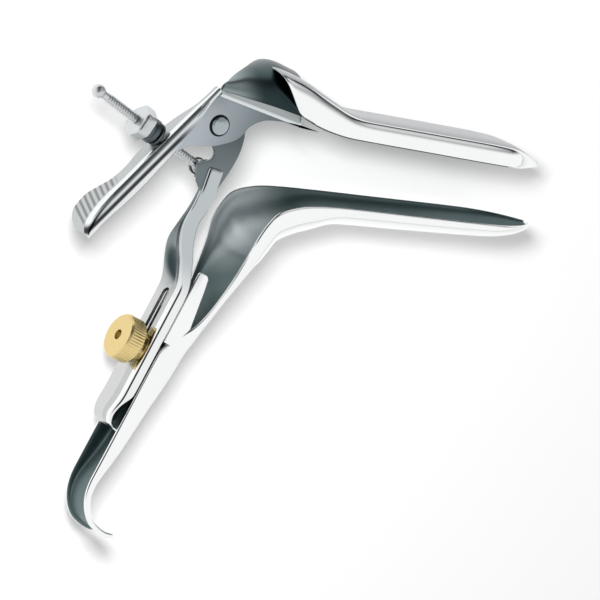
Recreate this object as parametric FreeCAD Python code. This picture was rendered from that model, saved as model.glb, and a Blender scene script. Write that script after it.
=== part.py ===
import FreeCAD, Part
import os
from math import cos, sin, radians, sqrt, copysign

# Bivalve speculum, open on its far side, lying on that side.
# +X runs forward along the blades, +Y from the lower blade to the upper one,
# +Z towards the side that carries the pivot and the thumb lever.
# Lengths are millimetres, angles degrees. The pivot is at X = Y = 0 until the end,
# where every piece is moved so that the origin is the bottom centre of the whole.

Vec = FreeCAD.Vector

# sheet
SHEET = 1.4
RIM_POINTS = 11
LOFT_STEP = 5.0
TIP_SHARES = (1.0, 0.985, 0.95, 0.90, 0.84, 0.77)

# lower blade
LOWER_ROOT = (58.2, -40.9)
LOWER_SLOPE = -12.9
LOWER_LENGTH = 90.0
BLADE_HALF_WIDTH = 17.5
LOWER_DEPTH = 9.6
BLADE_SQUARENESS = 2.5

# dish of the lower blade: rim point, opening direction, half width, depth
DISH_STATIONS = [
    ((46.5, -38.4), 79.0, 18.2, 13.0),
    ((35.8, -37.0), 84.0, 19.4, 15.5),
    ((24.5, -39.0), 98.0, 20.2, 17.0),
    ((16.8, -47.5), 113.0, 19.6, 14.0),
]

# handle channel: the line that its two rear rims follow
HANDLE_POINT = (-32.6, -109.6)
HANDLE_ANGLE = 58.0
HANDLE_HALF_WIDTH = 8.5
HANDLE_SQUARENESS = 5.0
FLARE_SQUARENESS = 3.5
# along the handle, rim forward of the line, half width added, depth
FLARE_STATIONS = [
    (72.0, 9.8, 9.3, 7.2),
    (60.0, 10.4, 7.0, 4.9),
    (48.0, 10.3, 4.0, 4.2),
    (38.0, 8.8, 1.3, 5.2),
]
CHANNEL_STATIONS = [
    (31.0, 4.5, 0.0, 8.8),
    (28.0, 2.0, 0.0, 10.6),
    (25.0, 0.5, 0.0, 12.0),
    (22.0, 0.05, 0.0, 12.2),
    (0.0, 0.0, 0.0, 9.6),
    (-20.0, 0.0, 0.0, 7.2),
    (-33.0, 0.0, 0.0, 4.6),
]
# hook: rim point along and forward, opening direction past the rear one, half width, depth
HOOK_STATIONS = [
    (-39.0, 1.0, 12.0, 8.3, 4.0),
    (-45.0, 4.4, 38.0, 8.3, 3.5),
    (-49.4, 10.6, 72.0, 8.2, 3.1),
    (-50.4, 17.4, 94.0, 8.0, 2.8),
    (-48.9, 22.6, 104.0, 7.0, 2.4),
]
TAB_TOP = 57.5
TAB_FOOT = 27.0
TAB_TOP_WIDTH = 5.0
TAB_FOOT_WIDTH = 9.0

# upper blade
UPPER_ROOT = (66.0, -15.6)
UPPER_SLOPE = -16.0
UPPER_LENGTH = 86.5
UPPER_DEPTH = 9.2
UPPER_SQUARENESS = 3.0
# root of the upper blade: rim point, opening direction, half width, depth
UPPER_STATIONS = [
    ((58.0, -13.2), -104.0, 17.9, 10.2),
    ((51.5, -10.6), -100.0, 18.4, 12.6),
    ((45.0, -7.4), -97.0, 18.9, 14.6),
    ((38.5, -3.6), -95.0, 19.0, 14.2),
]

# side planes
EAR_OUT = 20.0
EAR_THICK = 1.4
WASHER_THICK = 0.6
PLATE_THICK = 1.4
RUNNING = 0.05
CLEAR = 0.3

# ear and the near wall of the lever, in the side plane
APEX = (0.8, 13.7)
FOLD_END = (37.0, -3.6)
EAR_TAIL = (40.0, -7.2)
ARCH = [(28.6, -2.6), (20.0, -0.5), (13.8, -1.9), (11.4, -3.8)]
EAR_FOOT = [(8.4, -6.2), (4.0, -7.5), (-3.0, -7.8), (-9.0, -7.3)]

# thumb lever channel
LEVER_ANGLE = 218.3
LEVER_LENGTH = 77.0
THUMB_START = 52.0
RIB_COUNT = 8
RIB_PITCH = 2.6
RIB_HEIGHT = 0.45
RIB_MARGIN = 1.4
ROD_SLOT_LENGTH = 8.0
ROD_SLOT_EXTRA = 1.6
WALL_LEAST = 1.6
# along the lever, drop of its outer face, far edge, near wall height, far wall height
LEVER_STATIONS = [
    (9.0, 0.0, 15.0, 1.8, WALL_LEAST),
    (14.0, 0.0, 12.6, 5.0, 2.4),
    (20.0, 0.0, 10.0, 6.2, 3.4),
    (25.0, 0.0, 8.8, 6.4, 3.6),
    (38.0, 0.0, 8.8, 6.8, 3.6),
    (46.0, 0.0, 9.8, 7.2, 3.4),
    (52.0, 0.0, 9.2, 7.2, 3.0),
    (58.0, 0.0, 6.0, 7.0, 2.4),
    (64.0, 0.3, 2.4, 6.2, 2.0),
    (70.0, 1.2, 2.0, 5.0, WALL_LEAST),
    (74.0, 2.6, 4.6, 3.6, WALL_LEAST),
    (76.4, 4.0, 8.6, 2.2, WALL_LEAST),
    (LEVER_LENGTH, 4.6, 11.2, WALL_LEAST, WALL_LEAST),
]

# hood between ear and upper blade: X of its near point on the fold, far point
HOOD_STATIONS = [
    (2.6, (6.5, 16.6, 15.6)),
    (12.0, (17.5, 18.2, 7.0)),
    (24.0, (31.0, 16.6, -7.0)),
    (36.5, (44.0, 8.4, -15.0)),
]
HOOD_LAP = 0.5
HOOD_BULGE = 0.24

# frame that slides on the handle
STEM_DEPTH = 4.5
STEM_HALF_WIDTH = HANDLE_HALF_WIDTH
STEM_REAR = -STEM_DEPTH - CLEAR
WALL_TURN = HANDLE_ANGLE - 90
SLOT_LOW = 14.0
SLOT_HIGH = 46.5
SLOT_WIDTH = 4.8
RECESS_DEPTH = 0.6
# along the handle, rear face, wall direction, half width, wall height
FOOT_STATIONS = [
    (-11.7, 0.4, -64.0, 6.4, WALL_LEAST),
    (-11.0, -2.4, -58.0, 6.5, WALL_LEAST),
    (-9.2, -4.6, -50.0, 6.7, WALL_LEAST),
    (-6.2, -5.6, -40.0, 7.2, WALL_LEAST),
    (-3.0, -5.3, -34.0, 8.1, WALL_LEAST),
    (-0.6, -5.0, WALL_TURN, STEM_HALF_WIDTH, 2.4),
    (2.4, STEM_REAR, WALL_TURN, STEM_HALF_WIDTH, 4.3),
]
STEM_STATIONS = [7.0, 30.0, 46.5]
# rear face of the arm: place, wall direction, far edge, near edge, near and far wall heights
ARM_STATIONS = [
    ((-10.4, -57.0), -22.0, -7.5, 9.4, 4.6, 2.4),
    ((-12.0, -47.5), -12.0, -1.0, 11.8, 5.4, WALL_LEAST),
    ((-12.2, -39.5), -12.0, 7.5, 14.2, 6.2, WALL_LEAST),
    ((-8.9, -29.5), -22.0, 13.6, 18.4, 6.5, WALL_LEAST),
    ((-6.6, -23.5), -23.0, 15.2, 19.4, 6.5, WALL_LEAST),
    ((-3.6, -16.2), -23.0, 15.2, 19.4, 6.5, WALL_LEAST),
]

# plate between arm and pivot: its front edge from the top down, and its rear edge back up
PLATE_FRONT = [(5.6, 6.0), (11.0, 1.0), (12.2, -5.0), (10.4, -11.6), (8.2, -16.4), (4.4, -22.0)]
PLATE_REAR = [(-8.8, -21.4), (-8.8, -14.4), (-2.6, -14.0), (-0.6, -11.0), (-3.0, -7.4), (-5.4, 3.4)]

# pivot
RIVET_R = 2.1
RIVET_HEAD_R = 3.65
RIVET_HEAD_H = 1.3
WASHER_R = 4.6

# adjusting screw
ROD_Z = 13.6
ROD_HINGE = (-5.2, -17.3)
ROD_ANGLE = 140.9
ROD_R = 1.7
ROD_LENGTH = 55.0
ROD_EYE_R = 2.9
ROD_EYE_THICK = 3.2
PIN_R = 1.2
END_BALL_R = 2.8
CLEVIS_WIDTH = 6.6
CLEVIS_REACH = 3.4
NUT_SEAT_GAP = 0.3
NUT_WASHER_R = 4.6
NUT_WASHER_THICK = 1.0
NUT_HUB_R = 5.0
NUT_HUB_LENGTH = 4.4
NUT_BODY_R = 6.9
NUT_BODY_LENGTH = 5.6
NUT_FLATS = 6
NUT_FLAT_DEPTH = 0.75

# clamp
STUD_PLACE = 21.4
STUD_R = 2.0
STUD_HEAD_R = 3.4
STUD_HEAD_H = 0.9
SPACER_R = 3.2
KNOB_R = 8.9
KNOB_LENGTH = 7.4
KNOB_NECK_R = 4.4
KNOB_NECK_LENGTH = 0.8
KNOB_BORE_R = 2.05
COLLAR_R = 5.6
COLLAR_THICK = 1.8
STUD_RECESS = 3.0


def flat(place, z=0.0):
    return Vec(place[0], place[1], z)


def heading(angle):
    return Vec(cos(radians(angle)), sin(radians(angle)), 0)


def along_handle(s, forward, z=0.0):
    step = heading(HANDLE_ANGLE) * s + heading(HANDLE_ANGLE - 90) * forward
    return flat(HANDLE_POINT, z) + step


def along_lever(a, out, z=0.0):
    step = heading(LEVER_ANGLE) * a + heading(LEVER_ANGLE - 90) * out
    return flat(APEX, z) + step


def along_rod(d, side=0.0, z=ROD_Z):
    step = heading(ROD_ANGLE) * d + heading(ROD_ANGLE + 90) * side
    return flat(ROD_HINGE, z) + step


def spline(points):
    """Smooth curve whose points lie at even parameters, so that sections match in a loft."""
    curve = Part.BSplineCurve()
    curve.interpolate(Points=points, Parameters=[i / (len(points) - 1) for i in range(len(points))])
    return curve.toShape()


def prism(points, z_low, z_high):
    base = [Vec(p[0], p[1], z_low) for p in points]
    face = Part.Face(Part.makePolygon(base + base[:1]))
    return face.extrude(Vec(0, 0, z_high - z_low))


def handle_bar(s_low, s_high, f_low, f_high, z_low, z_high):
    corners = [along_handle(s_low, f_low), along_handle(s_high, f_low),
               along_handle(s_high, f_high), along_handle(s_low, f_high)]
    return prism([(c.x, c.y) for c in corners], z_low, z_high)


def trough(rim, opening, half_width, depth, squareness):
    """Closed section of a sheet trough whose rims lie at rim, opening towards opening."""
    up = heading(opening)
    bottom = flat(rim) - up * depth
    power = 2.0 / squareness

    def side(shrink):
        points = []
        for i in range(RIM_POINTS):
            turn = radians(-90 + 180 * i / (RIM_POINTS - 1))
            across = copysign(abs(sin(turn)) ** power, turn) * (half_width - shrink)
            rise = shrink + (depth - shrink) * (1 - abs(cos(turn)) ** power)
            if i in (0, RIM_POINTS - 1):
                rise = depth
            points.append(bottom + up * rise + Vec(0, 0, across))
        return points

    outer, inner = side(0.0), side(SHEET)
    return Part.Wire([
        spline(outer),
        Part.makeLine(outer[-1], inner[-1]),
        spline(inner[::-1]),
        Part.makeLine(inner[0], outer[0]),
    ])


def blade_stations(root, slope, length, depth, squareness, turn, shares):
    """Stations of a straight blade with a rounded tip, at shares of its length."""
    stations = []
    for share in shares:
        past = max(0.0, (share - 0.72) / 0.28)
        width = max(0.12, sqrt(max(0.0, 1 - past * past)))
        rim = flat(root) + heading(slope) * (length * share)
        stations.append((rim.x, rim.y, slope + turn, BLADE_HALF_WIDTH * width,
                         SHEET + 0.3 + (depth - SHEET - 0.3) * width ** 1.3, squareness))
    return stations


def slopes(places, values):
    """Slopes that let a cubic pass through the values without overshoot."""
    steps = [b - a for a, b in zip(places, places[1:])]
    rates = [(b - a) / h for a, b, h in zip(values, values[1:], steps)]
    result = [rates[0]]
    for i in range(1, len(rates)):
        before, after = rates[i - 1], rates[i]
        if before * after <= 0:
            result.append(0.0)
        else:
            w_before, w_after = 2 * steps[i] + steps[i - 1], steps[i] + 2 * steps[i - 1]
            result.append((w_before + w_after) / (w_before / before + w_after / after))
    return result + [rates[-1]]


def in_between(rows, step):
    """Rows at most about step apart; the first two numbers of a row are its place."""
    places = [0.0]
    for a, b in zip(rows, rows[1:]):
        places.append(places[-1] + sqrt((a[0] - b[0]) ** 2 + (a[1] - b[1]) ** 2))
    columns = [[row[k] for row in rows] for k in range(len(rows[0]))]
    leans = [slopes(places, column) for column in columns]
    result = []
    for i in range(len(rows) - 1):
        gap = places[i + 1] - places[i]
        count = max(1, int(gap / step + 0.5))
        for j in range(count):
            t = j / count
            result.append([
                (1 + 2 * t) * (1 - t) ** 2 * col[i] + t * (1 - t) ** 2 * gap * lean[i]
                + t * t * (3 - 2 * t) * col[i + 1] - t * t * (1 - t) * gap * lean[i + 1]
                for col, lean in zip(columns, leans)])
    return result + [list(rows[-1])]


def handle_place(place):
    """The same place given along the handle and forward of it."""
    offset = flat(place) - flat(HANDLE_POINT)
    return offset.dot(heading(HANDLE_ANGLE)), offset.dot(heading(HANDLE_ANGLE - 90))


def trough_loft(stations):
    """Sheet trough through stations of x, y, opening, half width, depth and squareness."""
    rows = [handle_place(st) + tuple(st[2:]) for st in stations]
    sections = []
    for s, f, opening, half_width, depth, squareness in in_between(rows, LOFT_STEP):
        rim = along_handle(s, f)
        sections.append(trough((rim.x, rim.y), opening, half_width, depth, squareness))
    return Part.makeLoft(sections, True, True)


def channel_section(base, forward, far, near, near_wall, far_wall):
    """Square section of a sheet channel: a web across Z and two walls forward of it."""
    corners = [(0, far), (0, near), (near_wall, near), (near_wall, near - SHEET),
               (SHEET, near - SHEET), (SHEET, far + SHEET), (far_wall, far + SHEET), (far_wall, far)]
    points = [base + forward * f + Vec(0, 0, z) for f, z in corners]
    return Part.makePolygon(points + points[:1])


def make_lower_blade():
    stations = blade_stations(LOWER_ROOT, LOWER_SLOPE, LOWER_LENGTH, LOWER_DEPTH,
                              BLADE_SQUARENESS, 90, TIP_SHARES + (0.60, 0.30, 0.0))
    for rim, opening, half_width, depth in DISH_STATIONS:
        stations.append(rim + (opening, half_width, depth, BLADE_SQUARENESS))
    rear = HANDLE_ANGLE + 90
    for s, forward, extra, depth in FLARE_STATIONS:
        rim = along_handle(s, forward)
        stations.append((rim.x, rim.y, rear - 22 * (s - 38) / 34, HANDLE_HALF_WIDTH + extra,
                         depth, FLARE_SQUARENESS))
    for s, forward, extra, depth in CHANNEL_STATIONS:
        rim = along_handle(s, forward)
        stations.append((rim.x, rim.y, rear, HANDLE_HALF_WIDTH + extra, depth, HANDLE_SQUARENESS))
    for s, forward, turn, half_width, depth in HOOK_STATIONS:
        rim = along_handle(s, forward)
        stations.append((rim.x, rim.y, rear + turn, half_width, depth, HANDLE_SQUARENESS))
    sheet = trough_loft(stations)
    outline = [
        along_handle(TAB_FOOT, 0.0),
        along_handle(TAB_FOOT, TAB_FOOT_WIDTH),
        along_handle(TAB_FOOT + 6, TAB_FOOT_WIDTH - 0.6),
        along_handle(TAB_TOP - 1.5, TAB_TOP_WIDTH),
        along_handle(TAB_TOP, TAB_TOP_WIDTH - 1.5),
        along_handle(TAB_TOP, 1.2),
        along_handle(TAB_TOP - 1.2, 0.0),
    ]
    low = HANDLE_HALF_WIDTH - SHEET
    for z_low in (low, -HANDLE_HALF_WIDTH):
        sheet = sheet.fuse(prism(outline, z_low, z_low + SHEET))
    return largest(sheet.cut(make_stud_spacer()).cut(make_clamp_stud()))


def stud_cylinder(radius, forward_low, forward_high):
    start = along_handle(STUD_PLACE, forward_low)
    return Part.makeCylinder(radius, forward_high - forward_low, start,
                             heading(HANDLE_ANGLE - 90))


def make_upper_blade():
    stations = blade_stations(UPPER_ROOT, UPPER_SLOPE, UPPER_LENGTH, UPPER_DEPTH,
                              UPPER_SQUARENESS, -90, TIP_SHARES + (0.60, 0.30, 0.0))
    for rim, opening, half_width, depth in UPPER_STATIONS:
        stations.append(rim + (opening, half_width, depth, UPPER_SQUARENESS))
    return trough_loft(stations)


def make_hood():
    sections = []
    fold = flat(FOLD_END) - flat(APEX)
    for near_x, far in HOOD_STATIONS:
        near = flat(APEX, EAR_OUT - HOOD_LAP) + fold * ((near_x - APEX[0]) / fold.x)
        far = Vec(*far)
        chord = far - near
        bulge = Vec(0, 0, 1).cross(Vec(1, -0.5, 0)).normalize()
        out = (bulge - chord * (bulge.dot(chord) / chord.dot(chord))).normalize()
        mid = near + chord * 0.5 + out * chord.Length * HOOD_BULGE
        low = out * -SHEET
        outer = Part.Arc(near, mid, far).toShape()
        inner = Part.Arc(far + low, mid + low, near + low).toShape()
        sections.append(Part.Wire([outer, Part.makeLine(far, far + low), inner,
                                   Part.makeLine(near + low, near)]))
    return Part.makeLoft(sections, True, False)


def make_ear():
    low = EAR_OUT - EAR_THICK
    wall_end = along_lever(30.0, -4.6)
    arch = spline([flat(p, low) for p in [EAR_TAIL] + ARCH + EAR_FOOT[:1]])
    foot = spline([flat(p, low) for p in EAR_FOOT])
    corners = [flat(p, low) for p in (EAR_FOOT[-1], wall_end, along_lever(9.0, 0.6), APEX,
                                      FOLD_END, EAR_TAIL)]
    straight = [Part.makeLine(a, b) for a, b in zip(corners, corners[1:])]
    outline = Part.Wire(Part.__sortEdges__([arch, foot] + straight))
    ear = Part.Face(outline).extrude(Vec(0, 0, EAR_THICK))
    return ear.cut(Part.makeCylinder(RIVET_R + RUNNING, EAR_THICK + 2, Vec(0, 0, low - 1)))


def lever_plate(a_low, a_high, out_low, out_high, z_low, z_high):
    corners = [along_lever(a_low, out_low), along_lever(a_high, out_low),
               along_lever(a_high, out_high), along_lever(a_low, out_high)]
    return prism([(c.x, c.y) for c in corners], z_low, z_high)


def lever_sections(lift, near_margin, far_margin, stations):
    """Sections of the lever's channel, or of a layer lift above its outer face."""
    inward = heading(LEVER_ANGLE + 90)
    sections = []
    for a, drop, far, near_wall, far_wall in stations:
        base = along_lever(a, SHEET - drop + lift)
        sections.append(channel_section(base, inward, far + far_margin, EAR_OUT - near_margin,
                                        near_wall, far_wall))
    return sections


def make_lever():
    stations = in_between(LEVER_STATIONS, LOFT_STEP)
    lever = Part.makeLoft(lever_sections(0.0, 0.0, 0.0, stations), True, True)
    for i in range(RIB_COUNT):
        a = THUMB_START + i * RIB_PITCH
        band = lever_plate(a, a + RIB_PITCH / 2, -LEVER_LENGTH, LEVER_LENGTH, -EAR_OUT, EAR_OUT)
        rib = lever.common(band)
        rib.translate(heading(LEVER_ANGLE - 90) * RIB_HEIGHT)
        edge = lever_plate(a - 1, a + RIB_PITCH, -LEVER_LENGTH, LEVER_LENGTH,
                           EAR_OUT - RIB_MARGIN, EAR_OUT + 1)
        lever = lever.fuse(rib.cut(edge))
    slot_half = ROD_R + ROD_SLOT_EXTRA / 2
    place = rod_on_lever()
    slot = lever_plate(place - ROD_SLOT_LENGTH / 2, place + ROD_SLOT_LENGTH / 2,
                       -SHEET, 2 * SHEET, ROD_Z - slot_half, ROD_Z + slot_half)
    return lever.cut(slot)


def rod_on_lever():
    """Distance along the lever at which the rod crosses its web."""
    start = flat(ROD_HINGE) - flat(APEX)
    rod = heading(ROD_ANGLE)
    out = heading(LEVER_ANGLE - 90)
    reach = (SHEET / 2 - start.dot(out)) / rod.dot(out)
    return (start + rod * reach).dot(heading(LEVER_ANGLE))


def make_upper_yoke():
    yoke = make_ear().fuse(make_lever()).fuse(make_hood())
    return largest(yoke.cut(make_upper_blade()))


def largest(shape):
    return max(shape.Solids, key=lambda solid: solid.Volume)


def frame_stations():
    """Rows of place along the handle, rear face, wall direction, edges and wall heights."""
    rows = [(s, f, turn, -half, half, wall, wall) for s, f, turn, half, wall in FOOT_STATIONS]
    rows += [(s, STEM_REAR, WALL_TURN, -STEM_HALF_WIDTH, STEM_HALF_WIDTH, STEM_DEPTH, STEM_DEPTH)
             for s in STEM_STATIONS]
    rows += [handle_place(place) + tuple(rest) for place, *rest in ARM_STATIONS]
    return rows


def make_frame():
    sections = []
    for s, f, turn, far, near, near_wall, far_wall in in_between(frame_stations(), LOFT_STEP):
        sections.append(channel_section(along_handle(s, f), heading(turn), far, near,
                                        near_wall, far_wall))
    frame = Part.makeLoft(sections[::-1], True, True)
    slot_half = SLOT_WIDTH / 2
    low, high = SLOT_LOW + slot_half, SLOT_HIGH - slot_half
    slot = handle_bar(low, high, STEM_REAR - 1, STEM_REAR + 3, -slot_half, slot_half)
    for s in (low, high):
        slot = slot.fuse(Part.makeCylinder(slot_half, 4, along_handle(s, STEM_REAR - 1),
                                           heading(HANDLE_ANGLE - 90)))
    for carried in (make_pivot_plate(), make_rod_clevis(), make_rod_pin()):
        frame = frame.cut(carried)
    return largest(frame.cut(slot))


PLATE_OUT = EAR_OUT - EAR_THICK - WASHER_THICK
PLATE_IN = PLATE_OUT - PLATE_THICK


def make_pivot_plate():
    front = spline([flat(p, PLATE_IN) for p in PLATE_FRONT])
    rear = [flat(p, PLATE_IN) for p in PLATE_FRONT[-1:] + PLATE_REAR + PLATE_FRONT[:1]]
    edges = [front] + [Part.makeLine(a, b) for a, b in zip(rear, rear[1:])]
    plate = Part.Face(Part.Wire(edges)).extrude(Vec(0, 0, PLATE_THICK))
    return plate.cut(Part.makeCylinder(RIVET_R, 6, Vec(0, 0, PLATE_IN - 2)))


def make_pivot_rivet():
    low = PLATE_IN - RIVET_HEAD_H
    shank = Part.makeCylinder(RIVET_R, EAR_OUT + CLEAR / 3 - PLATE_IN, Vec(0, 0, PLATE_IN))
    near = Part.makeCylinder(RIVET_HEAD_R, RIVET_HEAD_H, Vec(0, 0, EAR_OUT + CLEAR / 3))
    far = Part.makeCylinder(RIVET_HEAD_R * 0.85, RIVET_HEAD_H, Vec(0, 0, low))
    rivet = shank.fuse(near).fuse(far)
    rims = [e for e in rivet.Edges if e.Closed and len(e.Vertexes) == 1
            and abs(e.Curve.Radius - RIVET_R) > 0.5
            and (abs(e.BoundBox.ZMax - low) < 1e-6
                 or abs(e.BoundBox.ZMin - EAR_OUT - CLEAR / 3 - RIVET_HEAD_H) < 1e-6)]
    return rivet.makeFillet(RIVET_HEAD_H * 0.6, rims)


def ring(radius, bore, thick, base, direction):
    outer = Part.makeCylinder(radius, thick, base, direction)
    return outer.cut(Part.makeCylinder(bore, thick, base, direction))


def make_pivot_washer():
    return ring(WASHER_R, RIVET_R + RUNNING, WASHER_THICK, Vec(0, 0, PLATE_OUT), Vec(0, 0, 1))


def make_rod_clevis():
    far = ROD_Z - CLEVIS_WIDTH / 2 + 0.3
    block = Part.makeCylinder(CLEVIS_REACH, PLATE_IN - far, flat(ROD_HINGE, far))
    foot = prism([(ROD_HINGE[0] - 1.0, ROD_HINGE[1] - 4.4), (ROD_HINGE[0] + 4.4, ROD_HINGE[1] - 4.4),
                  (ROD_HINGE[0] + 4.4, ROD_HINGE[1] + 2.0), (ROD_HINGE[0], ROD_HINGE[1] + 2.0)],
                 far, PLATE_IN)
    block = block.fuse(foot)
    gap = ROD_EYE_THICK / 2 + CLEAR
    slit = Part.makeCylinder(CLEVIS_REACH + 3.0, 2 * gap, flat(ROD_HINGE, ROD_Z - gap))
    slit = slit.cut(prism([(ROD_HINGE[0] + 3.4, ROD_HINGE[1] - 9), (ROD_HINGE[0] + 9, ROD_HINGE[1] - 9),
                           (ROD_HINGE[0] + 9, ROD_HINGE[1] + 9), (ROD_HINGE[0] + 3.4, ROD_HINGE[1] + 9)],
                          ROD_Z - gap, ROD_Z + gap))
    hole = Part.makeCylinder(PIN_R, 20, flat(ROD_HINGE, far - 5))
    return block.cut(slit).cut(hole)


def make_rod_pin():
    far = ROD_Z - CLEVIS_WIDTH / 2 + 0.3
    return Part.makeCylinder(PIN_R, PLATE_IN - far, flat(ROD_HINGE, far))


def make_adjusting_rod():
    eye = Part.makeCylinder(ROD_EYE_R, ROD_EYE_THICK, flat(ROD_HINGE, ROD_Z - ROD_EYE_THICK / 2))
    shank = Part.makeCylinder(ROD_R, ROD_LENGTH - 1.5, along_rod(1.5), heading(ROD_ANGLE))
    rod = eye.fuse(shank)
    return rod.cut(Part.makeCylinder(PIN_R + RUNNING, 20, flat(ROD_HINGE, ROD_Z - 10)))


def make_rod_end():
    ball = Part.makeSphere(END_BALL_R, along_rod(ROD_LENGTH + END_BALL_R - 1.4))
    return ball.cut(Part.makeCylinder(ROD_R, ROD_LENGTH, along_rod(0.0), heading(ROD_ANGLE)))


def nut_seat():
    """Distance along the rod at which the nut's washer clears the lever's web."""
    start = flat(ROD_HINGE) - flat(APEX)
    rod = heading(ROD_ANGLE)
    out = heading(LEVER_ANGLE - 90)
    slant = rod.getAngle(out)
    return (SHEET - start.dot(out)) / rod.dot(out) + NUT_WASHER_R * sin(slant) / cos(slant) + NUT_SEAT_GAP


def make_nut_washer():
    return ring(NUT_WASHER_R, ROD_R + RUNNING, NUT_WASHER_THICK, along_rod(nut_seat()),
                heading(ROD_ANGLE))


def make_adjusting_nut():
    direction = heading(ROD_ANGLE)
    base = nut_seat() + NUT_WASHER_THICK
    nut = Part.makeCylinder(NUT_HUB_R, NUT_HUB_LENGTH, along_rod(base), direction)
    body = Part.makeCylinder(NUT_BODY_R, NUT_BODY_LENGTH, along_rod(base + NUT_HUB_LENGTH), direction)
    for i in range(NUT_FLATS):
        turn = radians(360 * i / NUT_FLATS)
        side = heading(ROD_ANGLE + 90) * cos(turn) + Vec(0, 0, 1) * sin(turn)
        place = along_rod(base) + side * (NUT_BODY_R + NUT_FLAT_DEPTH * 2.4)
        body = body.cut(Part.makeCylinder(NUT_FLAT_DEPTH * 4, 30, place, direction))
    nut = nut.fuse(body)
    return nut.cut(Part.makeCylinder(ROD_R + RUNNING, 40, along_rod(base - 5), direction))


def make_clamp_stud():
    front = channel_depth(STUD_PLACE)
    shank = stud_cylinder(STUD_R, knob_face() + STUD_RECESS, front)
    head = stud_cylinder(STUD_HEAD_R, front, front + STUD_HEAD_H)
    return shank.fuse(head)


def channel_depth(s):
    """Depth of the handle channel at s, between the stations beside it."""
    stations = [(st[0], st[3]) for st in CHANNEL_STATIONS if st[1] == 0.0]
    for (s_high, d_high), (s_low, d_low) in zip(stations, stations[1:]):
        if s_low <= s <= s_high:
            return d_low + (d_high - d_low) * (s - s_low) / (s_high - s_low)
    return stations[0][1]


def collar_face():
    return STEM_REAR - COLLAR_THICK


def knob_face():
    return collar_face() - KNOB_NECK_LENGTH - KNOB_LENGTH


def make_stud_spacer():
    front = channel_depth(STUD_PLACE) - SHEET
    rear = STEM_REAR + SHEET + CLEAR
    sleeve = stud_cylinder(SPACER_R, rear, front)
    return sleeve.cut(stud_cylinder(STUD_R, rear, front))


def make_clamp_collar():
    ring_low = collar_face()
    collar = stud_cylinder(COLLAR_R, ring_low, ring_low + COLLAR_THICK)
    return collar.cut(stud_cylinder(STUD_R + RUNNING, ring_low, ring_low + COLLAR_THICK))


def make_clamp_knob():
    face = knob_face()
    knob = stud_cylinder(KNOB_R, face, face + KNOB_LENGTH)
    rims = [e for e in knob.Edges if e.Closed and len(e.Vertexes) == 1]
    knob = knob.makeChamfer(0.6, rims)
    knob = knob.fuse(stud_cylinder(KNOB_NECK_R, face + KNOB_LENGTH,
                                   face + KNOB_LENGTH + KNOB_NECK_LENGTH))
    return knob.cut(stud_cylinder(KNOB_BORE_R, face, face + KNOB_LENGTH + KNOB_NECK_LENGTH))


def main():
    pieces = {
        "lower_blade": make_lower_blade(),
        "upper_blade": make_upper_blade(),
        "upper_yoke": make_upper_yoke(),
        "frame": make_frame(),
        "pivot_plate": make_pivot_plate(),
        "pivot_rivet": make_pivot_rivet(),
        "pivot_washer": make_pivot_washer(),
        "rod_clevis": make_rod_clevis(),
        "rod_pin": make_rod_pin(),
        "adjusting_rod": make_adjusting_rod(),
        "rod_end_stop": make_rod_end(),
        "nut_washer": make_nut_washer(),
        "adjusting_nut": make_adjusting_nut(),
        "clamp_stud": make_clamp_stud(),
        "stud_spacer": make_stud_spacer(),
        "clamp_collar": make_clamp_collar(),
        "clamp_knob": make_clamp_knob(),
    }
    whole = Part.makeCompound(list(pieces.values())).BoundBox
    shift = Vec(-(whole.XMin + whole.XMax) / 2, -(whole.YMin + whole.YMax) / 2, -whole.ZMin)
    os.makedirs("parts", exist_ok=True)
    for name, shape in pieces.items():
        shape.translate(shift)
        shape.exportStep("parts/" + name + ".step")
        print("%-14s solids %d valid %s volume %.0f" % (
            name, len(shape.Solids), shape.isValid(), shape.Volume))
    print("origin is the pivot moved by", shift)
    print("size %.1f x %.1f x %.1f" % (whole.XLength, whole.YLength, whole.ZLength))


main()
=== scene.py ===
# %% [markdown]
# A two-bladed instrument of polished steel, lying on its open side on a white table.
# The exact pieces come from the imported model, so this lesson starts by loading them.
# Everything here is in metres and in the frame of those pieces. The box of the whole
# model is kept at once, because the finished picture must not grow past it.

# %% Load the pieces
import bpy
from math import atan, cos, pi, radians, sin, sqrt
from mathutils import Matrix, Vector


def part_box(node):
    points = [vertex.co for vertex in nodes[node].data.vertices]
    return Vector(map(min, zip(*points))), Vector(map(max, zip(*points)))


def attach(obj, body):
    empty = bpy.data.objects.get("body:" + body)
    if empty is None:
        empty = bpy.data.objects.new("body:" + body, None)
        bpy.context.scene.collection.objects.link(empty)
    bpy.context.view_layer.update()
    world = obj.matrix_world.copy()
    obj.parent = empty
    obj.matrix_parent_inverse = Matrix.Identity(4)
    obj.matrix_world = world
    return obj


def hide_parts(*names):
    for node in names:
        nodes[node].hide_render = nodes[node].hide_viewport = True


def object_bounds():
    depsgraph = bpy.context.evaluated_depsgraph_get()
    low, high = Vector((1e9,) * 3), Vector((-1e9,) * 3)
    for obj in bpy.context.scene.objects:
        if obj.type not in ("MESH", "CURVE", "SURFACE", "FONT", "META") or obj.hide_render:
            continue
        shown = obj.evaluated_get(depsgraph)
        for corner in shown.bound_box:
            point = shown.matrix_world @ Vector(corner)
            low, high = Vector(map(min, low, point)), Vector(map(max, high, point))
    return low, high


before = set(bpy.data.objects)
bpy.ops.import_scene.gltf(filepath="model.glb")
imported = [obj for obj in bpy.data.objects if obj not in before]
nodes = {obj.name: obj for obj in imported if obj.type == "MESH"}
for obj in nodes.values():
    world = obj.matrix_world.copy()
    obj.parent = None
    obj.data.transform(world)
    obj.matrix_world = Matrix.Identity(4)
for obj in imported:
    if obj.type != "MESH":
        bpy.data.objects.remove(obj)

cad_low, cad_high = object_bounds()
scene = bpy.context.scene
MM = 0.001
print("pieces", len(nodes), "box", [round(v, 4) for v in cad_high - cad_low])

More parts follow.
